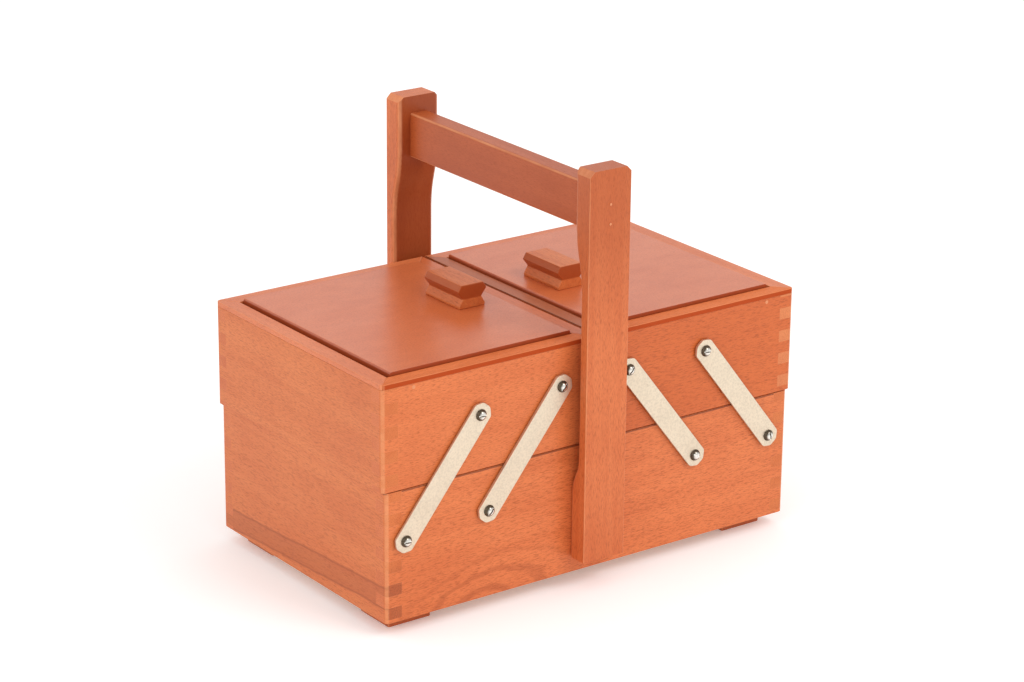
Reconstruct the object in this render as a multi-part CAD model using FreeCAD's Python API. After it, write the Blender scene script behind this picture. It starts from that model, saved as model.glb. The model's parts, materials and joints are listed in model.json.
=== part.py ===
import FreeCAD, Part
import math
import os

# Two-tier wooden sewing box. Sizes in millimetres; +X runs along the long side,
# +Y from the front to the back, +Z up. The origin is on the floor under the middle.

# Overall sizes
box_length = 275.6            # end to end over the two closed trays
box_depth = 163.0
base_height = 73.4            # base box without its feet
tray_height = 59.5            # tray with its rim
foot_height = 8.0
handle_height = 229.0         # top of the posts above the base's underside

# Boards and clearances
board = 9.8                   # walls of the base and the trays
meeting_board = 8.4           # the tray walls that face each other
base_panel = 4.0
tray_panel = 3.0
panel_lap = 5.0               # how far a bottom panel reaches under the walls
tray_overhang = 2.2           # trays stand past the base at each end
tier_gap = 0.6                # between base and trays
tray_gap = 1.6                # between the two trays
corner_round = 2.8
finger = 6.6                  # height of one box-joint finger
base_first_finger = 2.1       # lowest finger of the end boards, above the wall's edge
tray_first_finger = 2.9

# Rims and lids
rim_rebate = 0.4              # the walls reach a little past the rim
meeting_rim_lip = 0.4         # the meeting rim reaches past its wall
rim_thick = 2.8
lid_thick = 9.4
lid_stand = 1.8               # lid top above the rim
lid_gap = 0.8
lid_pin_gap = 2.2             # wider gap where the lid swings down
lid_edge_round = 1.0
lid_pin_edge_round = 1.2
lid_pin_drop = 4.6            # pin axis below the rim's top
lid_pin_inset = 10.3          # pin axis inside the rim's inner edge
lid_pin_radius = 1.0
lid_pin_reach = 12.0          # length inside the lid
lid_swing_play = 0.4          # around the lid's outer edge as it swings down
pin_clearance = 0.06
rest_depth = 5.0
rest_height = 6.0
part_gap = 0.3                # between pieces that move past each other

# Knobs
knob_length = 32.5
knob_height = 13.5
knob_foot_rise = 1.6
knob_waist_rise = 5.6
knob_brim_rise = 10.0
knob_foot_half = 8.6
knob_waist_half = 6.2
knob_brim_half = 9.6
knob_top_half = 7.4
knob_offset = 32.0            # from the middle of the box
left_knob_shift = 4.5         # towards the back
right_knob_shift = 0.5
knob_screw_radius = 1.5
knob_screw_head = 3.2
knob_screw_grip = 8.0

# Links
link_lean = 47.2              # sideways run of a closed link
link_rise = 59.9
outer_pivot_inset = 13.0      # outer lower pivots from the base's ends
pivot_spacing = 52.8          # between a tray's outer and inner links
pivot_height = 50.2           # lower pivots above the base's underside
pivot_shift = -1.9            # all pivots stand a little to the left
left_outer_drop = 4.7         # the left outer links sit lower than the rest
link_width = 12.6
link_thick = 1.6
link_corner = 3.7
link_corner_round = 3.0
link_hole_clearance = 0.08
washer_radius = 3.9
washer_thick = 0.5
shank_radius = 1.6
shank_depth = 7.8
head_radius = 3.25
head_height = 2.2
slot_width = 0.8
slot_depth = 0.9
slot_turn = 50.0              # degrees from one screw's slot to the next

# Posts and handle bar
post_width = 27.2
post_foot_thick = 13.0        # where the post is fixed to the base
post_waist_thick = 7.5        # where the trays and links pass behind it
post_top_thick = 13.0
post_start = 9.7              # post's lower end above the base's underside
post_foot_top = 47.0          # the foot's straight part ends
post_waist_start = 69.0
post_waist_end = 158.0
post_head_start = 200.0
post_chamfer = 3.1
post_waist_round = 3.0
post_edge_round = 0.6
handle_shift = -2.9           # posts and bar stand left of the middle
bar_width = 12.0
bar_bottom = 193.5
bar_top = 219.3
bar_round = 1.5
bar_tenon = 4.0
bar_pin_radius = 0.7
bar_pin_length = 24.0
bar_pin_spacing = 10.8
bar_pin_head = 0.3            # how far a pin head stands out
bar_pin_low = 5.6             # lower pin above the bar's bottom edge
post_screw_radius = 2.0
post_screw_head = 4.0
post_screw_grip = 9.0
post_screw_low = 18.0
post_screw_high = 38.0

# Feet
foot_length = 27.0
foot_width = 27.0
foot_inset_end = 8.4
foot_inset_front = 10.6
foot_round = 1.0

# Levels and half sizes that follow from the sizes above
half_length = box_length / 2
half_depth = box_depth / 2
base_half = half_length - tray_overhang
floor_z = foot_height
base_top = floor_z + base_height
tray_low = base_top + tier_gap
tray_top = tray_low + tray_height
tray_wall_top = tray_top - rim_thick
tray_inner_x = tray_gap / 2
rim_width = board - rim_rebate
meeting_rim_width = meeting_board + meeting_rim_lip
outer_pivot = base_half - outer_pivot_inset
inner_pivot = outer_pivot - pivot_spacing
rim_open_outer = half_length - rim_width
rim_open_inner = tray_inner_x + meeting_rim_width
rim_open_y = half_depth - rim_width
lid_pin_x = rim_open_outer - lid_pin_inset
lid_pin_z = tray_top - lid_pin_drop
lid_outer_x = rim_open_outer - lid_pin_gap
lid_inner_x = rim_open_inner + lid_gap
lid_half_y = rim_open_y - lid_gap
lid_top = tray_top + lid_stand
lid_low = lid_top - lid_thick
lid_swing = math.hypot(lid_pin_inset - lid_pin_gap, lid_top - lid_pin_z) + lid_swing_play
link_length = math.hypot(link_lean, link_rise)
link_inner_y = washer_thick + part_gap
head_seat = link_inner_y + link_thick + part_gap
post_outer_y = half_depth + post_foot_thick


def vec(x, y, z):
    return FreeCAD.Vector(x, y, z)


def block(x0, x1, y0, y1, z0, z1):
    low = vec(min(x0, x1), min(y0, y1), min(z0, z1))
    return Part.makeBox(abs(x1 - x0), abs(y1 - y0), abs(z1 - z0), low)


def prism(points, direction):
    wire = Part.makePolygon(points + [points[0]])
    return Part.Face(wire).extrude(direction)


def flip_x(shape):
    return shape.mirror(vec(0, 0, 0), vec(1, 0, 0))


def flip_y(shape):
    return shape.mirror(vec(0, 0, 0), vec(0, 1, 0))


def outward(shape, side):
    """Turn a piece built along +Z so that it points out of the front (-1) or back (1)."""
    out = shape.copy()
    out.rotate(vec(0, 0, 0), vec(1, 0, 0), 90 if side < 0 else -90)
    return out


def placed(shape, x, y, z):
    out = shape.copy()
    out.translate(vec(x, y, z))
    return out


def round_edges(shape, radius, wanted):
    edges = [e for e in shape.Edges if wanted(e)]
    return shape.makeFillet(radius, edges)


def is_vertical(edge):
    a, b = edge.Vertexes[0].Point, edge.Vertexes[-1].Point
    return abs(a.x - b.x) < 1e-6 and abs(a.y - b.y) < 1e-6 and abs(a.z - b.z) > 1e-6


def edge_middle(edge):
    return edge.BoundBox.Center


def outline(x0, x1, z0, z1, rounded_x):
    """Solid with the tier's outside shape; the corners at the given x are rounded."""
    body = block(x0, x1, -half_depth, half_depth, z0, z1)
    return round_edges(body, corner_round, lambda e: is_vertical(e) and any(
        abs(edge_middle(e).x - x) < 0.01 for x in rounded_x))


def finger_spans(z0, z1, first):
    """Heights that belong to the end boards in a box joint."""
    spans = []
    z = z0 + first
    while z < z1 - 0.5:
        spans.append((z, min(z + finger, z1)))
        z += 2 * finger
    return spans


def spans_between(spans, z0, z1):
    ends = [z0] + [z for span in spans for z in span] + [z1]
    pairs = zip(ends[0::2], ends[1::2])
    return [(a, b) for a, b in pairs if b - a > 0.01]


def side_board(x0, x1, wall0, wall1, z0, z1, first, side):
    """Front or back board with fingers at both ends."""
    y_out, y_in = side * half_depth, side * (half_depth - board)
    body = block(x0, x1, y_out, y_in, z0, z1)
    for low, high in finger_spans(z0, z1, first):
        body = body.cut(block(x0, x0 + wall0, y_out, y_in, low, high))
        body = body.cut(block(x1 - wall1, x1, y_out, y_in, low, high))
    return body


def end_board(x_out, x_in, z0, z1, first):
    """Board across the depth, with fingers that fill the side boards' notches."""
    body = block(x_out, x_in, -half_depth, half_depth, z0, z1)
    for low, high in spans_between(finger_spans(z0, z1, first), z0, z1):
        for side in (-1, 1):
            body = body.cut(block(x_out, x_in, side * half_depth,
                                  side * (half_depth - board), low, high))
    return body


def pivot_list(tray_side):
    """Lower pivots of one tray's links: name, x, z."""
    drop = left_outer_drop if tray_side < 0 else 0.0
    return [("outer", tray_side * outer_pivot + pivot_shift, floor_z + pivot_height - drop),
            ("inner", tray_side * inner_pivot + pivot_shift, floor_z + pivot_height)]


def upper_pivot(tray_side, x, z):
    return x - tray_side * link_lean, z + link_rise


# Base box

def base_panel_solid():
    reach = board - panel_lap
    return block(-base_half + reach, base_half - reach, -half_depth + reach,
                 half_depth - reach, floor_z, floor_z + base_panel)


def base_outline():
    return outline(-base_half, base_half, floor_z, base_top, (-base_half, base_half))


def pilot_holes(points, side):
    tool = outward(Part.makeCylinder(shank_radius, shank_depth), -side)
    return [placed(tool, x, side * half_depth, z) for x, z in points]


def post_screw_points():
    return [(handle_shift, floor_z + z) for z in (post_screw_low, post_screw_high)]


def post_screw(side):
    """Countersunk screw that enters from inside the base."""
    head = Part.makeCone(post_screw_head, post_screw_radius,
                         post_screw_head - post_screw_radius)
    shank = Part.makeCylinder(post_screw_radius, board + post_screw_grip)
    return outward(head.fuse(shank), side)


def post_screw_solids(side):
    y = side * (half_depth - board)
    return [placed(post_screw(side), x, y, z) for x, z in post_screw_points()]


def make_base_side(side):
    body = side_board(-base_half, base_half, board, board, floor_z, base_top,
                      base_first_finger, side)
    body = body.common(base_outline()).cut(base_panel_solid())
    for tool in pilot_holes(base_pivot_points(), side) + post_screw_solids(side):
        body = body.cut(tool)
    return body


def make_base_end(side):
    body = end_board(side * base_half, side * (base_half - board), floor_z, base_top,
                     base_first_finger)
    body = body.common(base_outline()).cut(base_panel_solid())
    for y_side in (-1, 1):
        for tool in pilot_holes(base_pivot_points(), y_side):
            body = body.cut(tool)
    return body


def make_foot(x_side, y_side):
    x = base_half - foot_inset_end
    y = half_depth - foot_inset_front
    body = block(x - foot_length, x, y - foot_width, y, 0, foot_height)
    body = round_edges(body, foot_round, is_vertical)
    if x_side < 0:
        body = flip_x(body)
    return flip_y(body) if y_side < 0 else body


# Handle

def make_handle_bar():
    y = post_outer_y - post_top_thick + bar_tenon
    body = block(handle_shift - bar_width / 2, handle_shift + bar_width / 2, -y, y,
                 floor_z + bar_bottom, floor_z + bar_top)
    body = round_edges(body, bar_round, lambda e: e.BoundBox.YLength > y)
    for tool in bar_pin_solids():
        body = body.cut(tool)
    return body


def bar_pin_solids():
    out = []
    for side in (-1, 1):
        shank = Part.makeCylinder(bar_pin_radius, bar_pin_length)
        pin = placed(shank, 0, 0, bar_pin_head - bar_pin_length)
        for step in (0, 1):
            z = floor_z + bar_bottom + bar_pin_low + step * bar_pin_spacing
            out.append(placed(outward(pin, side), handle_shift, side * post_outer_y, z))
    return out


def post_profile():
    """Side view of the back post: a straight outer face and a curved inner one."""
    outer = post_outer_y
    foot = outer - post_foot_thick
    waist = outer - post_waist_thick
    head = outer - post_top_thick
    z_low, z_high = floor_z + post_start, floor_z + handle_height
    z1, z2 = floor_z + post_foot_top, floor_z + post_waist_start
    z3, z4 = floor_z + post_waist_end, floor_z + post_head_start

    def line(a, b):
        return Part.makeLine(vec(0, *a), vec(0, *b))

    def bend(a, b):
        middle = (a[1] + b[1]) / 2
        curve = Part.BezierCurve()
        curve.setPoles([vec(0, a[0], a[1]), vec(0, a[0], middle),
                        vec(0, b[0], middle), vec(0, b[0], b[1])])
        return curve.toShape()

    edges = [line((outer, z_low), (foot, z_low)), line((foot, z_low), (foot, z1)),
             bend((foot, z1), (waist, z2)), line((waist, z2), (waist, z3)),
             bend((waist, z3), (head, z4)), line((head, z4), (head, z_high)),
             line((head, z_high), (outer, z_high)), line((outer, z_high), (outer, z_low))]
    return Part.Face(Part.Wire(edges))


def make_post(side):
    half = post_width / 2
    body = post_profile().extrude(vec(post_width, 0, 0))
    body.translate(vec(-half, 0, 0))
    waist = post_outer_y - post_waist_thick
    body = round_edges(body, post_waist_round, lambda e: is_vertical(e) and abs(
        edge_middle(e).y - waist) < 0.01)
    z_high = floor_z + handle_height
    for sign in (-1, 1):
        corner = [vec(sign * half, 0, z_high), vec(sign * (half - post_chamfer), 0, z_high),
                  vec(sign * half, 0, z_high - post_chamfer)]
        body = body.cut(prism(corner, vec(0, 2 * post_outer_y, 0)))
    body = round_edges(body, post_edge_round, lambda e: is_vertical(e) and abs(
        edge_middle(e).y - post_outer_y) < 0.01)
    body.translate(vec(handle_shift, 0, 0))
    if side < 0:
        body = flip_y(body)
    for tool in [make_handle_bar()] + bar_pin_solids() + post_screw_solids(side):
        body = body.cut(tool)
    return body


# Links and their screws

def domed_screw():
    """Slotted round-head screw; z = 0 is the board's face and the head points up."""
    sphere_radius = (head_radius ** 2 + head_height ** 2) / (2 * head_height)
    top = head_seat + head_height
    ball = Part.makeSphere(sphere_radius, vec(0, 0, top - sphere_radius))
    head = ball.common(Part.makeCylinder(head_radius, head_height, vec(0, 0, head_seat)))
    slot = block(-head_radius, head_radius, -slot_width / 2, slot_width / 2,
                 top - slot_depth, top + 1)
    shank = Part.makeCylinder(shank_radius, head_seat + shank_depth,
                              vec(0, 0, -shank_depth))
    return head.fuse(shank).cut(slot)


def washer():
    ring = Part.makeCylinder(washer_radius, washer_thick)
    return ring.cut(Part.makeCylinder(shank_radius, washer_thick))


def on_faces(piece, points, turn=0.0):
    """Put a piece at each x, z point on the front and back faces."""
    out = []
    for side in (-1, 1):
        for index, (x, z) in enumerate(points):
            turned = piece.copy()
            turned.rotate(vec(0, 0, 0), vec(0, 0, 1), index * turn)
            out.append(placed(outward(turned, side), x, side * half_depth, z))
    return out


def make_link(tray_side, x, z, side):
    """Flat strip with clipped corners, from its lower pivot to its upper one."""
    half = link_width / 2
    clip = half - link_corner
    length = link_length
    shape = [(-half, -clip), (-clip, -half), (length + clip, -half), (length + half, -clip),
             (length + half, clip), (length + clip, half), (-clip, half), (-half, clip)]
    body = prism([vec(a, b, 0) for a, b in shape], vec(0, 0, link_thick))
    body = round_edges(body, link_corner_round, is_vertical)
    for at in (0, length):
        hole = Part.makeCylinder(shank_radius + link_hole_clearance, link_thick, vec(at, 0, 0))
        body = body.cut(hole)
    body.rotate(vec(0, 0, 0), vec(1, 0, 0), 90)
    lean = math.degrees(math.atan2(link_rise, -tray_side * link_lean))
    body.rotate(vec(0, 0, 0), vec(0, 1, 0), -lean)
    body.translate(vec(x, -half_depth - link_inner_y, z))
    return flip_y(body) if side > 0 else body


def base_pivot_points():
    return [(x, z) for tray in (-1, 1) for _, x, z in pivot_list(tray)]


def tray_pivot_points(tray_side):
    return [upper_pivot(tray_side, x, z) for _, x, z in pivot_list(tray_side)]


# Trays; each is built for the left side and mirrored for the right

def tray_outline(z0, z1):
    return outline(-half_length, -tray_inner_x, z0, z1, (-half_length,))


def tray_panel_solid():
    reach = board - panel_lap
    return block(-half_length + reach, -tray_inner_x - meeting_board + panel_lap,
                 -half_depth + reach, half_depth - reach, tray_low, tray_low + tray_panel)


def lid_well():
    """Room for the lid where the walls reach past the rim, deeper where its edge swings."""
    rest = block(-rim_open_outer, -rim_open_inner, -rim_open_y, rim_open_y,
                 lid_low - part_gap, tray_wall_top)
    swing = block(-rim_open_outer, -lid_pin_x + lid_swing, -rim_open_y, rim_open_y,
                  lid_pin_z - lid_swing, tray_wall_top)
    return rest.fuse(swing)


def lid_pin_solids():
    length = half_depth - lid_half_y + lid_pin_reach
    out = []
    for side in (-1, 1):
        pin = placed(Part.makeCylinder(lid_pin_radius, length), 0, 0, -length)
        out.append(placed(outward(pin, side), -lid_pin_x, side * half_depth, lid_pin_z))
    return out


def make_tray_side(tray_side, side):
    body = side_board(-half_length, -tray_inner_x, board, meeting_board, tray_low,
                      tray_wall_top, tray_first_finger, side)
    body = body.common(tray_outline(tray_low, tray_wall_top)).cut(tray_panel_solid())
    for tool in [lid_well()] + lid_pin_solids():
        body = body.cut(tool)
    if tray_side > 0:
        body = flip_x(body)
    for tool in pilot_holes(tray_pivot_points(tray_side), side):
        body = body.cut(tool)
    return body


def make_tray_end(tray_side, meeting):
    if meeting:
        x_out, x_in = -tray_inner_x, -tray_inner_x - meeting_board
    else:
        x_out, x_in = -half_length, -half_length + board
    body = end_board(x_out, x_in, tray_low, tray_wall_top, tray_first_finger)
    body = body.common(tray_outline(tray_low, tray_wall_top)).cut(tray_panel_solid())
    body = body.cut(lid_well())
    return flip_x(body) if tray_side > 0 else body


def rim_strip(tray_side, where):
    """One strip of the mitred rim."""
    corners = {"outer low": (-half_length, -half_depth), "outer high": (-half_length, half_depth),
               "meet low": (-tray_inner_x, -half_depth), "meet high": (-tray_inner_x, half_depth)}
    inside = {"outer low": (-rim_open_outer, -rim_open_y), "outer high": (-rim_open_outer, rim_open_y),
              "meet low": (-rim_open_inner, -rim_open_y), "meet high": (-rim_open_inner, rim_open_y)}
    ends = {"front": ("outer low", "meet low"), "back": ("meet high", "outer high"),
            "outer": ("outer high", "outer low"), "meeting": ("meet low", "meet high")}[where]
    ring = [corners[ends[0]], corners[ends[1]], inside[ends[1]], inside[ends[0]]]
    body = prism([vec(x, y, tray_wall_top) for x, y in ring], vec(0, 0, rim_thick))
    body = body.common(tray_outline(tray_wall_top, tray_top))
    return flip_x(body) if tray_side > 0 else body


def make_lid_rest(tray_side):
    x = tray_inner_x + meeting_board
    top = lid_low - part_gap
    y = half_depth - board
    body = block(-x, -x - rest_depth, -y, y, top - rest_height, top)
    return flip_x(body) if tray_side > 0 else body


# Lids and knobs, also built for the left side

def lid_pin_bores():
    out = []
    for side in (-1, 1):
        bore = Part.makeCylinder(lid_pin_radius + pin_clearance, lid_pin_reach + part_gap)
        bore = placed(bore, 0, 0, -lid_pin_reach - part_gap)
        out.append(placed(outward(bore, side), -lid_pin_x, side * lid_half_y, lid_pin_z))
    return out


def knob_place(tray_side):
    """Middle of a knob's foot, for a piece built on the left."""
    return -knob_offset, left_knob_shift if tray_side < 0 else right_knob_shift


def knob_screw_solid(tray_side):
    x, y = knob_place(tray_side)
    sink = knob_screw_head - knob_screw_radius
    head = Part.makeCone(knob_screw_head, knob_screw_radius, sink)
    shank = Part.makeCylinder(knob_screw_radius, lid_thick + knob_screw_grip)
    return placed(head.fuse(shank), x, y, lid_low)


def make_lid(tray_side):
    body = block(-lid_outer_x, -lid_inner_x, -lid_half_y, lid_half_y, lid_low, lid_top)

    def top_edge(edge):
        return edge.BoundBox.ZMin > lid_top - 0.01

    body = round_edges(body, lid_pin_edge_round, lambda e: top_edge(e) and abs(
        edge_middle(e).x + lid_outer_x) < 0.01)
    for tool in lid_pin_bores() + [knob_screw_solid(tray_side)]:
        body = body.cut(tool)
    body = round_edges(body, lid_edge_round, lambda e: top_edge(e) and abs(
        edge_middle(e).x + lid_inner_x) < 0.01)
    return flip_x(body) if tray_side > 0 else body


def make_knob(tray_side):
    """Long grip with a waist all along both sides."""
    right = [(knob_foot_half, 0), (knob_foot_half, knob_foot_rise),
             (knob_waist_half, knob_waist_rise), (knob_brim_half, knob_brim_rise),
             (knob_top_half, knob_height)]
    ring = right + [(-a, b) for a, b in reversed(right)]
    points = [vec(a, 0, b) for a, b in ring]
    body = prism(points, vec(0, knob_length, 0))
    x, y = knob_place(tray_side)
    body.translate(vec(x, y - knob_length / 2, lid_top))
    body = body.cut(knob_screw_solid(tray_side))
    return flip_x(body) if tray_side > 0 else body


def build():
    nodes = {}
    for name, side in (("front", -1), ("back", 1)):
        nodes["base_%s_board" % name] = make_base_side(side)
        nodes["%s_post" % name] = make_post(side)
    for name, side in (("left", -1), ("right", 1)):
        nodes["base_%s_board" % name] = make_base_end(side)
        for depth, y_side in (("front", -1), ("back", 1)):
            nodes["%s_%s_foot" % (name, depth)] = make_foot(side, y_side)
    nodes["base_bottom_panel"] = base_panel_solid()
    nodes["handle_bar"] = make_handle_bar()
    nodes["handle_bar_pins"] = Part.makeCompound(bar_pin_solids())
    nodes["post_screws"] = Part.makeCompound(post_screw_solids(-1) + post_screw_solids(1))
    nodes["base_link_screws"] = Part.makeCompound(on_faces(
        domed_screw(), base_pivot_points(), slot_turn))
    nodes["base_link_washers"] = Part.makeCompound(on_faces(washer(), base_pivot_points()))

    for name, tray in (("left", -1), ("right", 1)):
        for depth, side in (("front", -1), ("back", 1)):
            nodes["%s_tray_%s_board" % (name, depth)] = make_tray_side(tray, side)
            for which, x, z in pivot_list(tray):
                nodes["%s_%s_%s_link" % (name, depth, which)] = make_link(tray, x, z, side)
        nodes[name + "_tray_outer_board"] = make_tray_end(tray, False)
        nodes[name + "_tray_meeting_board"] = make_tray_end(tray, True)
        panel = tray_panel_solid()
        pins = Part.makeCompound(lid_pin_solids())
        screw = knob_screw_solid(tray)
        if tray > 0:
            panel, pins, screw = flip_x(panel), flip_x(pins), flip_x(screw)
        nodes[name + "_tray_bottom_panel"] = panel
        nodes[name + "_lid_pins"] = pins
        nodes[name + "_knob_screw"] = screw
        for where in ("front", "back", "outer", "meeting"):
            nodes["%s_rim_%s" % (name, where)] = rim_strip(tray, where)
        nodes[name + "_lid_rest"] = make_lid_rest(tray)
        points = tray_pivot_points(tray)
        nodes[name + "_tray_link_screws"] = Part.makeCompound(on_faces(
            domed_screw(), points, slot_turn))
        nodes[name + "_tray_link_washers"] = Part.makeCompound(on_faces(washer(), points))
        nodes[name + "_lid"] = make_lid(tray)
        nodes[name + "_knob"] = make_knob(tray)
    return nodes


os.makedirs("parts", exist_ok=True)
for node, shape in build().items():
    shape.exportStep("parts/%s.step" % node)
    print(node, len(shape.Solids), shape.isValid(), round(shape.Volume))
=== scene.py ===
import bpy
import bmesh
import json
import math
import random
from mathutils import Matrix, Vector

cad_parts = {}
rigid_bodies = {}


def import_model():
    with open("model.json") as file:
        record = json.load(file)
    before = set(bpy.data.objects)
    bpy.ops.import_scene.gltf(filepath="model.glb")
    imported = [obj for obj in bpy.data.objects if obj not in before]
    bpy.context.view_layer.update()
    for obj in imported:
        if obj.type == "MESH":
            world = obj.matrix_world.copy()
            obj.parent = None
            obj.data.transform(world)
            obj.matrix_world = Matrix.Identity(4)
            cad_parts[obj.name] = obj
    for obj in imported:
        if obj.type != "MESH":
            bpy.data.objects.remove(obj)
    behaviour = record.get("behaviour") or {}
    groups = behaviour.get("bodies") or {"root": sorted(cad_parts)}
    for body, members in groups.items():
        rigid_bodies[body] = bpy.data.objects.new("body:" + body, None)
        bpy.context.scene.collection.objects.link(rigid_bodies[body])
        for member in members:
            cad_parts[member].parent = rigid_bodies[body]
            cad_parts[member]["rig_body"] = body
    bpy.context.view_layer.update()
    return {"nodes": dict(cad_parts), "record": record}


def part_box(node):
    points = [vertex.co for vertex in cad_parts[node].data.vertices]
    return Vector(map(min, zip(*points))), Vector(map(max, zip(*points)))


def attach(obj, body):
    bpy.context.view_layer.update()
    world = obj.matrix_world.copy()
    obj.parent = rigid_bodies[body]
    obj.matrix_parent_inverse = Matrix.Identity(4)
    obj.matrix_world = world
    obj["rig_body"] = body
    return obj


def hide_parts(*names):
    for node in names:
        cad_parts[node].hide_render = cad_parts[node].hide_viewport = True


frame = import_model()
nodes = frame["nodes"]
slotOf = {part["node"]: part["material_slot"] for part in frame["record"]["subparts"]}
mm = 0.001

camera = {
    "place": (-0.98452, -1.34976, 0.71074),
    "aim": (0.045324, 0.057136, 0.088),
    "lens": 112.59,
    "sensor": 36.0,
    "roll": -0.0099,          # radians, the view leans a little
    "farEnd": 50.0,
}


def placeCamera(look):
    data = bpy.data.cameras.new("camera")
    data.lens = look["lens"]
    data.sensor_width = look["sensor"]
    data.clip_end = look["farEnd"]
    eye, aim = Vector(look["place"]), Vector(look["aim"])
    ahead = (aim - eye).normalized()
    right = ahead.cross(Vector((0, 0, 1))).normalized()
    down = ahead.cross(right)
    c, s = math.cos(look["roll"]), math.sin(look["roll"])
    right, down = right * c + down * s, down * c - right * s
    turn = Matrix((right, -down, -ahead)).transposed().to_4x4()
    item = bpy.data.objects.new("camera", data)
    item.matrix_world = Matrix.Translation(eye) @ turn
    bpy.context.scene.collection.objects.link(item)
    bpy.context.scene.camera = item


studio = {
    "worldColor": (1.0, 0.995, 0.99),
    "worldStrength": 0.90,
    "lightAim": (0, 0, 0.08),
    "lights": {               # place, size, power
        "keyLight": ((0.55, -1.6, 1.7), 0.9, 12.0),
        "fillLight": ((-1.7, -0.5, 1.2), 1.6, 4.0),
    },
    "floorColor": (0.96, 0.96, 0.955),
    "floorGlow": 0.20,
    "floorSize": 14.0,
    "floorDrop": 0.0002,
    "floorRoughness": 0.9,
    "floorSpecular": 0.2,
}


def addAreaLight(name, place, size, power, aim):
    data = bpy.data.lights.new(name, "AREA")
    data.shape = "SQUARE"
    data.size = size
    data.energy = power
    item = bpy.data.objects.new(name, data)
    away = Vector(place) - Vector(aim)
    item.rotation_euler = away.to_track_quat("Z", "Y").to_euler()
    item.location = place
    bpy.context.scene.collection.objects.link(item)


def buildStudio(look):
    world = bpy.data.worlds.new("studio")
    world.use_nodes = True
    back = world.node_tree.nodes["Background"]
    back.inputs["Color"].default_value = (*look["worldColor"], 1)
    back.inputs["Strength"].default_value = look["worldStrength"]
    bpy.context.scene.world = world
    for name, (place, size, power) in look["lights"].items():
        addAreaLight(name, place, size, power, look["lightAim"])
    mesh = bpy.data.meshes.new("floor")
    bm = bmesh.new()
    bmesh.ops.create_grid(bm, x_segments=1, y_segments=1, size=look["floorSize"] / 2)
    bmesh.ops.translate(bm, vec=(0, 0, -look["floorDrop"]), verts=bm.verts)
    bm.to_mesh(mesh)
    bm.free()
    floor = bpy.data.objects.new("floor", mesh)
    bpy.context.scene.collection.objects.link(floor)
    paint = bpy.data.materials.new("paleFloor")
    paint.use_nodes = True
    shader = paint.node_tree.nodes["Principled BSDF"]
    shader.inputs["Base Color"].default_value = (*look["floorColor"], 1)
    shader.inputs["Roughness"].default_value = look["floorRoughness"]
    shader.inputs["Specular IOR Level"].default_value = look["floorSpecular"]
    shader.inputs["Emission Color"].default_value = (*look["floorColor"], 1)
    shader.inputs["Emission Strength"].default_value = look["floorGlow"]
    mesh.materials.append(paint)
    bpy.context.scene.view_settings.view_transform = "Standard"


placeCamera(camera)
buildStudio(studio)
print("studio and camera ready")


def feed(tree, node, key, value):
    if isinstance(value, bpy.types.NodeSocket):
        tree.links.new(value, node.inputs[key])
    else:
        node.inputs[key].default_value = value


def addNode(tree, kind, inputs, **settings):
    node = tree.nodes.new(kind)
    for key, value in settings.items():
        setattr(node, key, value)
    for key, value in inputs.items():
        feed(tree, node, key, value)
    return node


def calc(tree, operation, a, b=0.0, c=0.0, clamp=False):
    inputs = {0: a, 1: b, 2: c}
    node = addNode(tree, "ShaderNodeMath", inputs, operation=operation, use_clamp=clamp)
    return node.outputs[0]


def product(tree, *values):
    out = values[0]
    for value in values[1:]:
        out = calc(tree, "MULTIPLY", out, value)
    return out


def scaled(tree, vector, scale):
    node = addNode(tree, "ShaderNodeVectorMath", {0: vector, 1: scale}, operation="MULTIPLY")
    return node.outputs[0]


def noiseOf(tree, vector, scale, detail=2.0, roughness=0.5, distortion=0.0):
    # scale is the number of features per metre along the three axes
    node = addNode(tree, "ShaderNodeTexNoise", {
        "Vector": scaled(tree, vector, scale), "Scale": 1.0, "Detail": detail,
        "Roughness": roughness, "Distortion": distortion})
    return node.outputs["Fac"]


def rampOf(tree, value, low, high):
    node = addNode(tree, "ShaderNodeMapRange", {
        "Value": value, "From Min": low, "From Max": high, "To Min": 0.0, "To Max": 1.0},
        interpolation_type="SMOOTHSTEP")
    return node.outputs["Result"]


def mixOf(tree, amount, first, second):
    node = addNode(tree, "ShaderNodeMix", {0: amount}, data_type="RGBA")
    for index, color in ((6, first), (7, second)):
        if not isinstance(color, bpy.types.NodeSocket):
            color = (*color, 1)
        feed(tree, node, index, color)
    return node.outputs[2]


def newMaterial(name):
    material = bpy.data.materials.new(name)
    material.use_nodes = True
    return material, material.node_tree, material.node_tree.nodes["Principled BSDF"]


def addBump(tree, shader, height, strength, distance):
    bump = addNode(tree, "ShaderNodeBump", {
        "Height": height, "Strength": strength, "Distance": distance})
    feed(tree, shader, "Normal", bump.outputs["Normal"])


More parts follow.
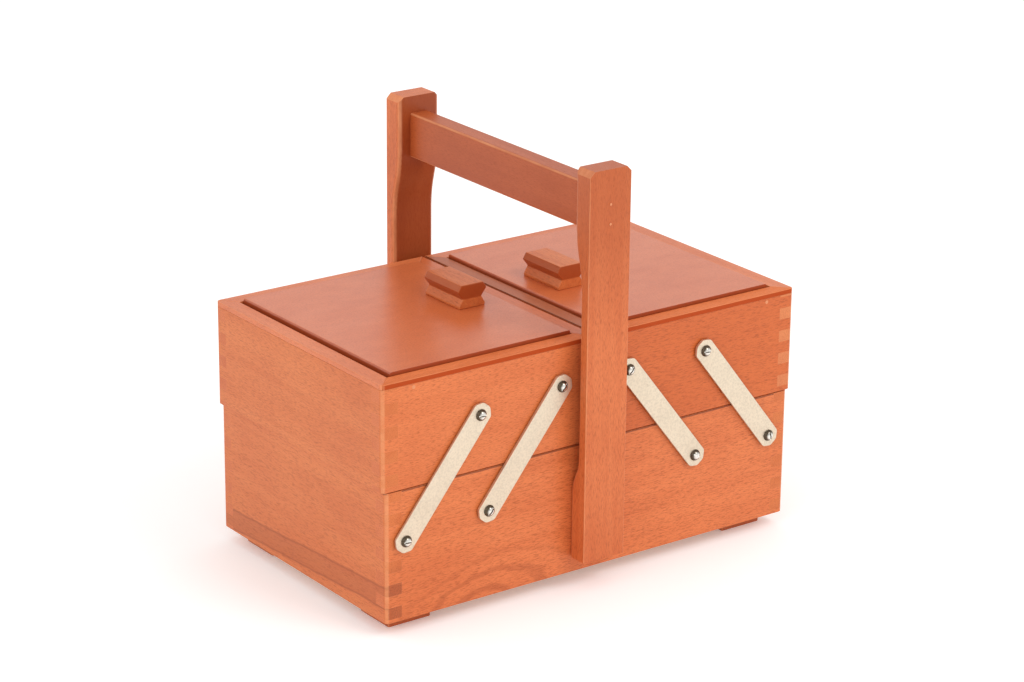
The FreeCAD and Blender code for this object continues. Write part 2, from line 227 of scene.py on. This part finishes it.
beech = {
    "light": (0.73, 0.196, 0.060),
    "dark": (0.55, 0.110, 0.026),
    "fleck": (0.28, 0.045, 0.010),
    "edge": (0.84, 0.36, 0.17),
    "endGrain": (0.44, 0.095, 0.028),
    "roughness": 0.40,
    "specular": 0.28,
    "coat": 0.06,
    "coatRoughness": 0.26,
    "streakScale": (6, 120, 120),
    "streakAmount": 0.50,
    "cloudScale": (16, 26, 26),
    "fleckScale": (300, 2500, 2500),
    "fleckRange": (0.46, 0.74),
    "fleckAmount": 0.62,
    "poreScale": (620, 5200, 5200),
    "poreRange": (0.55, 0.75),
    "poreAmount": 0.35,
    "edgeAmount": 0.5,
    "endAmount": 0.10,
    "endTop": None,           # heights over which the end grain fades out
    # the side keys paint shade onto upright faces: lid sides, front rim band, knob sides, back post
    # front, base seam
    "sideTone": None,         # colour of the upright faces, where it differs
    "sideAmount": 0.0,
    "sideWay": None,          # only the faces that look this way
    "sideRange": (0.25, 0.6), # how upright a face has to be
    "sideFrom": None,         # heights over which the side tone sets in
    "topTone": None,          # colour that takes over towards the top
    "topRange": (0.0, 1.0),
    "topAmount": 0.0,
    "figure": None,           # arched grain: middle, reach and ring spacing in metres
    "band": None,             # dark stripe: lower and upper height, rise per metre
    "bumpStrength": 0.5,
    "bumpDepth": 0.00004,
    "streakShare": 0.55,      # streaks and clouds together give the tone
    "cloudShare": 0.65,
    "toneRange": (0.42, 0.80),
    "sideWayRange": (0.5, 0.8),
    "endRange": (0.75, 0.95), # how squarely a face has to cut the grain
    "dotScale": (30, 1400, 1400),
    "dotRange": (0.35, 0.65),
    "dotShade": 0.7,
    "wearScale": (60, 200, 200),
    "flatRange": (0.86, 0.995),
    "wearGain": 1.6,
    "roughSpread": 0.10,
    "roughDrop": 0.06,
    "streakRelief": 0.4,
}
grainTurn = {"X": (0, 0, 0), "Y": (0, 0, -math.pi / 2), "Z": (0, math.pi / 2, 0)}


def archedGrain(tree, point, figure, wobble):
    # rings around a stretched middle, fading out with distance
    shifted = addNode(tree, "ShaderNodeVectorMath", {
        0: point, 1: figure["middle"]}, operation="SUBTRACT").outputs[0]
    squeezed = scaled(tree, shifted, figure["squeeze"])
    far = addNode(tree, "ShaderNodeVectorMath", {0: squeezed}, operation="LENGTH").outputs["Value"]
    bent = calc(tree, "MULTIPLY_ADD", wobble, figure["wobble"], far)
    wave = calc(tree, "SINE", calc(tree, "MULTIPLY", bent, 2 * math.pi / figure["spacing"]))
    rings = rampOf(tree, wave, 0.1, 1.0)
    fade = calc(tree, "SUBTRACT", 1.0, rampOf(tree, bent, 0.4 * figure["reach"], figure["reach"]))
    return product(tree, rings, fade, figure["amount"])


def darkBand(tree, point, band, wobble):
    parts = addNode(tree, "ShaderNodeSeparateXYZ", {0: point})
    level = calc(tree, "MULTIPLY_ADD", parts.outputs[1], band["rise"], parts.outputs[2])
    level = calc(tree, "MULTIPLY_ADD", wobble, band["wobble"], level)
    soft = band["soft"]
    inside = product(tree, rampOf(tree, level, band["low"] - soft, band["low"]), calc(
        tree, "SUBTRACT", 1.0, rampOf(tree, level, band["high"], band["high"] + soft)))
    out = product(tree, inside, band["amount"])
    for height in (band["low"], band["high"]):
        near = calc(tree, "ABSOLUTE", calc(tree, "SUBTRACT", level, height))
        line = calc(tree, "SUBTRACT", 1.0, rampOf(tree, near, 0.0, band["line"]))
        out = calc(tree, "ADD", out, product(tree, line, band["lineAmount"]), clamp=True)
    return out


def makeWood(name, grain, seed, changes):
    look = dict(beech, **changes)
    material, tree, shader = newMaterial(name)
    draw = random.Random(seed)
    shift = [draw.uniform(-3, 3) for _ in range(3)]
    coord = addNode(tree, "ShaderNodeTexCoord", {})
    point = coord.outputs["Object"]
    turned = addNode(tree, "ShaderNodeMapping", {
        "Vector": point, "Rotation": grainTurn[grain]}).outputs[0]
    along = addNode(tree, "ShaderNodeVectorMath", {0: turned, 1: shift},
                    operation="ADD").outputs[0]

    streaks = noiseOf(tree, along, look["streakScale"], 4.0, 0.6, 0.6)
    clouds = noiseOf(tree, along, look["cloudScale"], 3.0, 0.55)
    flecks = noiseOf(tree, along, look["fleckScale"], 2.0, 0.6)
    pores = noiseOf(tree, along, look["poreScale"], 1.0)
    tone = calc(tree, "ADD", product(tree, streaks, look["streakShare"]),
                product(tree, clouds, look["cloudShare"]))
    tone = product(tree, rampOf(tree, tone, *look["toneRange"]), look["streakAmount"])
    color = mixOf(tree, tone, look["light"], look["dark"])
    if look["figure"]:
        arches = archedGrain(tree, point, look["figure"], clouds)
        color = mixOf(tree, arches, color, look["fleck"])
    if look["band"]:
        stripe = darkBand(tree, point, look["band"], clouds)
        color = mixOf(tree, stripe, color, look["fleck"])
    height = addNode(tree, "ShaderNodeSeparateXYZ", {0: point}).outputs[2]
    if look["topTone"]:
        upper = product(tree, rampOf(tree, height, *look["topRange"]), look["topAmount"])
        color = mixOf(tree, upper, color, look["topTone"])
    fleckMask = product(tree, rampOf(tree, flecks, *look["fleckRange"]), look["fleckAmount"])
    color = mixOf(tree, fleckMask, color, look["fleck"])
    poreMask = product(tree, rampOf(tree, pores, *look["poreRange"]), look["poreAmount"])
    color = mixOf(tree, poreMask, color, look["fleck"])

    normal = addNode(tree, "ShaderNodeSeparateXYZ", {0: coord.outputs["Normal"]})
    facing = [calc(tree, "ABSOLUTE", normal.outputs[i]) for i in range(3)]
    # painted shade on the upright faces that look the given way and lie above the given height
    if look["sideTone"]:
        upright = calc(tree, "SUBTRACT", 1.0, rampOf(tree, facing[2], *look["sideRange"]))
        if look["sideWay"]:
            toward = addNode(tree, "ShaderNodeVectorMath", {
                0: coord.outputs["Normal"], 1: look["sideWay"]}, operation="DOT_PRODUCT")
            upright = product(tree, upright, rampOf(
                tree, toward.outputs["Value"], *look["sideWayRange"]))
        if look["sideFrom"]:
            upright = product(tree, upright, rampOf(tree, height, *look["sideFrom"]))
        color = mixOf(tree, product(tree, upright, look["sideAmount"]), color, look["sideTone"])
    endMask = product(tree, rampOf(tree, facing["XYZ".index(grain)], *look["endRange"]),
                      look["endAmount"])
    if look["endTop"]:
        endMask = product(tree, endMask, calc(tree, "SUBTRACT", 1.0, rampOf(
            tree, height, *look["endTop"])))
    dots = noiseOf(tree, along, look["dotScale"])
    endColor = mixOf(tree, rampOf(tree, dots, *look["dotRange"]), look["endGrain"],
                     tuple(look["dotShade"] * v for v in look["endGrain"]))
    color = mixOf(tree, endMask, color, endColor)
    # lighter worn edges; where a look gives a dark edge colour (lids, right meeting rim) the edges
    # get painted shade
    wearAndShade = noiseOf(tree, along, look["wearScale"], 3.0, 0.6)
    flat = calc(tree, "MAXIMUM", calc(tree, "MAXIMUM", facing[0], facing[1]), facing[2])
    rounded = calc(tree, "SUBTRACT", 1.0, rampOf(tree, flat, *look["flatRange"]))
    edgeMask = product(tree, rounded, wearAndShade, look["wearGain"] * look["edgeAmount"])
    color = mixOf(tree, calc(tree, "MINIMUM", edgeMask, 1.0), color, look["edge"])
    feed(tree, shader, "Base Color", color)

    rough = calc(tree, "MULTIPLY_ADD", calc(tree, "ADD", streaks, fleckMask),
                 look["roughSpread"], look["roughness"] - look["roughDrop"])
    feed(tree, shader, "Roughness", rough)
    shader.inputs["Coat Weight"].default_value = look["coat"]
    shader.inputs["Coat Roughness"].default_value = look["coatRoughness"]
    shader.inputs["Specular IOR Level"].default_value = look["specular"]
    relief = calc(tree, "SUBTRACT", product(tree, streaks, look["streakRelief"]),
                  calc(tree, "ADD", fleckMask, poreMask))
    addBump(tree, shader, relief, look["bumpStrength"], look["bumpDepth"])
    return material


metalGrain = {
    "blotchScale": 60,
    "blotchRange": (0.35, 0.75),
    "blotchAmount": 0.35,
    "blotchShade": 0.86,
    "speckScale": 420,
    "speckRange": (0.66, 0.76),
    "speckAmount": 0.30,
    "gritRange": (0.35, 0.7),
    "gritShade": 0.62,
    "domeRange": (0.72, 0.94), # how straight a screw's face looks outward
    "roughSpread": 0.14,
    "roughDrop": 0.07,
    "bumpDepth": 0.00003,
}
metals = {
    "link": {"color": (0.77, 0.65, 0.50), "roughness": 0.38, "metallic": 0.8,
             "brushed": 0.4, "speckColor": (0.36, 0.27, 0.19), "domeColor": None,
             "gritScale": 900, "gritAmount": 0.35},
    "screw": {"color": (0.86, 0.83, 0.76), "roughness": 0.20, "metallic": 1.0,
              "brushed": 0.1, "speckColor": (0.30, 0.22, 0.15),
              "domeColor": (0.10, 0.075, 0.05), "gritScale": 2600, "gritAmount": 0.1},
    "pin": {"color": (0.72, 0.27, 0.12), "roughness": 0.45, "metallic": 0.3,
            "brushed": 0.1, "speckColor": (0.30, 0.22, 0.15), "domeColor": None,
            "gritScale": 2600, "gritAmount": 0.1},
    # washers are darkened to add to the painted shade ring around the screw heads
    "washer": {"color": (0.34, 0.27, 0.20), "roughness": 0.5, "metallic": 0.7,
               "brushed": 0.1, "speckColor": (0.20, 0.15, 0.10), "domeColor": None,
               "gritScale": 2600, "gritAmount": 0.1},
}


def makeMetal(name, changes, seed):
    look = dict(metalGrain, **changes)
    material, tree, shader = newMaterial(name)
    shift = [random.Random(seed).uniform(-3, 3) for _ in range(3)]
    coord = addNode(tree, "ShaderNodeTexCoord", {})
    place = addNode(tree, "ShaderNodeVectorMath", {0: coord.outputs["Object"], 1: shift},
                    operation="ADD").outputs[0]
    grit = noiseOf(tree, place, (look["gritScale"],) * 3, 2.0, 0.6)
    blotch = noiseOf(tree, place, (look["blotchScale"],) * 3, 3.0, 0.6)
    specks = rampOf(tree, noiseOf(tree, place, (look["speckScale"],) * 3), *look["speckRange"])
    dulled = product(tree, rampOf(tree, blotch, *look["blotchRange"]), look["blotchAmount"])
    color = mixOf(tree, dulled, look["color"],
                  tuple(look["blotchShade"] * v for v in look["color"]))
    color = mixOf(tree, product(tree, specks, look["speckAmount"]), color, look["speckColor"])
    gritty = product(tree, rampOf(tree, grit, *look["gritRange"]), look["gritAmount"])
    color = mixOf(tree, gritty, color, tuple(look["gritShade"] * v for v in look["color"]))
    # painted shade ring on the sloping sides of the screw domes
    if look["domeColor"]:
        normal = addNode(tree, "ShaderNodeSeparateXYZ", {0: coord.outputs["Normal"]})
        straight = calc(tree, "ABSOLUTE", normal.outputs[1])
        color = mixOf(tree, rampOf(tree, straight, *look["domeRange"]), look["domeColor"],
                      color)
    feed(tree, shader, "Base Color", color)
    feed(tree, shader, "Roughness", calc(tree, "MULTIPLY_ADD", blotch, look["roughSpread"],
                                         look["roughness"] - look["roughDrop"]))
    shader.inputs["Metallic"].default_value = look["metallic"]
    addBump(tree, shader, grit, look["brushed"], look["bumpDepth"])
    return material


woodLooks = {
    "side": {},
    "end": {"light": (0.70, 0.196, 0.054), "fleckAmount": 0.50},
    # lid: the side tone and the dark edge colour are painted shade on the lid's side faces and
    # rounded edges
    "lid": {"light": (0.675, 0.164, 0.050), "dark": (0.55, 0.110, 0.030), "roughness": 0.36,
            "streakScale": (30, 60, 60), "streakAmount": 0.40, "cloudScale": (70, 110, 110),
            "fleckScale": (900, 1500, 1500), "fleckAmount": 0.30, "specular": 0.5,
            "coat": 0.30, "coatRoughness": 0.24, "sideTone": (0.34, 0.050, 0.012),
            "sideAmount": 0.85, "edge": (0.42, 0.075, 0.022), "edgeAmount": 0.9},
    "rim": {"light": (0.77, 0.212, 0.072), "specular": 0.42, "coat": 0.1,
            "fleckAmount": 0.35},
    # front rims: the side tone paints a band of shade on their front faces only
    "frontRim": {"light": (0.78, 0.210, 0.068), "specular": 0.12, "coat": 0.0,
                 "roughness": 0.55, "sideTone": (0.42, 0.052, 0.006), "sideAmount": 0.95,
                 "sideWay": (0, -1, 0), "fleckAmount": 0.35},
    "post": {"light": (0.67, 0.175, 0.054), "streakScale": (5, 200, 200),
             "streakAmount": 0.65, "fleckAmount": 0.55, "topTone": (0.38, 0.075, 0.016),
             "topRange": (0.13, 0.22), "topAmount": 0.45},
    "bar": {"light": (0.50, 0.108, 0.028), "dark": (0.34, 0.062, 0.014), "fleckAmount": 0.5,
            "streakScale": (5, 150, 150)},
    # knobs: the side tone paints shade on their sloping and upright faces above the brim height
    "knob": {"light": (0.75, 0.220, 0.062), "fleckAmount": 0.5, "edgeAmount": 0.12,
             "streakScale": (8, 260, 260), "streakAmount": 0.7, "specular": 0.25,
             "sideTone": (0.36, 0.054, 0.006), "sideAmount": 0.9, "sideRange": (0.80, 0.95),
             "sideFrom": (0.1483, 0.1493)},
    "foot": {"light": (0.46, 0.110, 0.034), "fleckAmount": 0.4},
    "panel": {"light": (0.66, 0.33, 0.17), "dark": (0.55, 0.25, 0.12), "coat": 0.0,
              "roughness": 0.55, "fleck": (0.42, 0.19, 0.09)},
}
# what single boards show on top of their kind's look
ownLooks = {
    "base_front_board": {"figure": {
        "middle": (-0.072, 0.0, 0.004), "squeeze": (0.46, 0.0, 1.0), "wobble": 0.020,
        "spacing": 0.0085, "reach": 0.050, "amount": 0.34}},
    "base_left_board": {"endAmount": 0.80, "endTop": (0.028, 0.046), "band": {
        "low": 0.0163, "high": 0.0274, "rise": 0.054, "wobble": 0.006, "soft": 0.0016,
        "amount": 0.30, "line": 0.0010, "lineAmount": 0.30}},
    "right_tray_outer_board": {"endGrain": (0.80, 0.33, 0.15), "endAmount": 0.25},
    "right_tray_front_board": {"light": (0.63, 0.140, 0.032)},
    "left_rim_meeting": {"light": (0.68, 0.165, 0.052), "edgeAmount": 0.1},
    # right meeting rim: darker all over, and its dark edge colour paints the shade line in the gap
    # between the lids
    "right_rim_meeting": {"light": (0.47, 0.122, 0.040), "dark": (0.34, 0.078, 0.022),
                          "edge": (0.10, 0.026, 0.010), "edgeAmount": 1.2, "specular": 0.3},
    # back post: its front face is darker, partly darker wood and partly a painted shadow of the
    # handle bar
    "back_post": {"light": (0.80, 0.215, 0.066), "topAmount": 0.1, "sideTone": (0.24, 0.038, 0.007),
                  "sideAmount": 0.78, "sideWay": (0, -1, 0)},
}

# painted shadow line along the top of the base boards, where the trays sit on them
seamShadow = {
    "outward": {"base_front_board": (0, -1, 0), "base_back_board": (0, 1, 0),
                "base_left_board": (-1, 0, 0), "base_right_board": (1, 0, 0)},
    "color": (0.13, 0.026, 0.008),
    "amount": 0.85,
    "low": 0.0011,
    "high": 0.0003,
}


def lookOf(node):
    # kind of wood look, direction of the grain, bevel in mm
    if node in ("left_lid", "right_lid"):
        return "lid", "X", 0.6
    if node.endswith("_knob"):
        return "knob", "Y", 0.6
    if "_rim_" in node:
        side = node.rsplit("_", 1)[1]
        kind = "frontRim" if side == "front" else "rim"
        return kind, "X" if side in ("front", "back") else "Y", 0.45
    if node.endswith("_post"):
        return "post", "Z", 0.5
    if node == "handle_bar":
        return "bar", "Y", 0.4
    if node.endswith("_foot"):
        return "foot", "X", 0.6
    if node.endswith("bottom_panel"):
        return "panel", "X", 0.2
    if node.endswith(("left_board", "right_board", "outer_board", "meeting_board", "lid_rest")):
        return "end", "Y", 0.12
    return "side", "X", 0.12


soft = {
    "weld": 0.002,            # mm
    "flatAngle": 0.4,         # degrees
    "sharpAngle": 28,
    "shadeAngle": 50,
    "segments": 2,
    "linkBevel": 0.25,        # mm
    "faceWeight": 100,
}


def softCopy(node, bevel, material, look):
    # same shape as the frame's node, with its sharp edges eased
    source = nodes[node]
    bm = bmesh.new()
    bm.from_mesh(source.data)
    bmesh.ops.remove_doubles(bm, verts=bm.verts, dist=look["weld"] * mm)
    bmesh.ops.dissolve_limit(bm, angle_limit=math.radians(look["flatAngle"]), verts=bm.verts,
                             edges=bm.edges)
    sharp = [e for e in bm.edges if len(e.link_faces) == 2 and
             e.calc_face_angle(0) > math.radians(look["sharpAngle"])]
    bmesh.ops.bevel(bm, geom=sharp, offset=bevel * mm, affect="EDGES",
                    segments=look["segments"], profile=0.5, material=-1, clamp_overlap=True)
    mesh = bpy.data.meshes.new(node + ".soft")
    bm.to_mesh(mesh)
    bm.free()
    mesh.shade_smooth()
    mesh.set_sharp_from_angle(angle=math.radians(look["shadeAngle"]))
    piece = bpy.data.objects.new(node + ".soft", mesh)
    bpy.context.scene.collection.objects.link(piece)
    mesh.materials.append(material)
    weigh = piece.modifiers.new("flatFaces", "WEIGHTED_NORMAL")
    weigh.weight = look["faceWeight"]
    weigh.keep_sharp = True
    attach(piece, source["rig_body"])
    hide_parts(node)


def metalOf(node):
    if node.endswith("link_screws"):
        return "screw"
    return "washer" if node.endswith("washers") else "pin"


plain = {kind: makeMetal(kind + "Metal", metals[kind], 3) for kind in ("screw", "pin", "washer")}
for index, node in enumerate(sorted(nodes)):
    if slotOf[node] == "bright_steel":
        nodes[node].data.materials.clear()
        nodes[node].data.materials.append(plain[metalOf(node)])
    elif slotOf[node] == "link_metal":
        softCopy(node, soft["linkBevel"], makeMetal("plate." + node, metals["link"], index), soft)
    else:
        kind, grain, bevel = lookOf(node)
        changes = dict(woodLooks[kind], **ownLooks.get(node, {}))
        # the base boards get the painted shadow line under the trays on their outward faces
        if node in seamShadow["outward"]:
            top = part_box(node)[1][2]
            changes.update(sideTone=seamShadow["color"], sideAmount=seamShadow["amount"],
                           sideWay=seamShadow["outward"][node],
                           sideFrom=(top - seamShadow["low"], top - seamShadow["high"]))
        softCopy(node, bevel, makeWood(kind + "." + node, grain, index, changes), soft)
print("pieces ready")
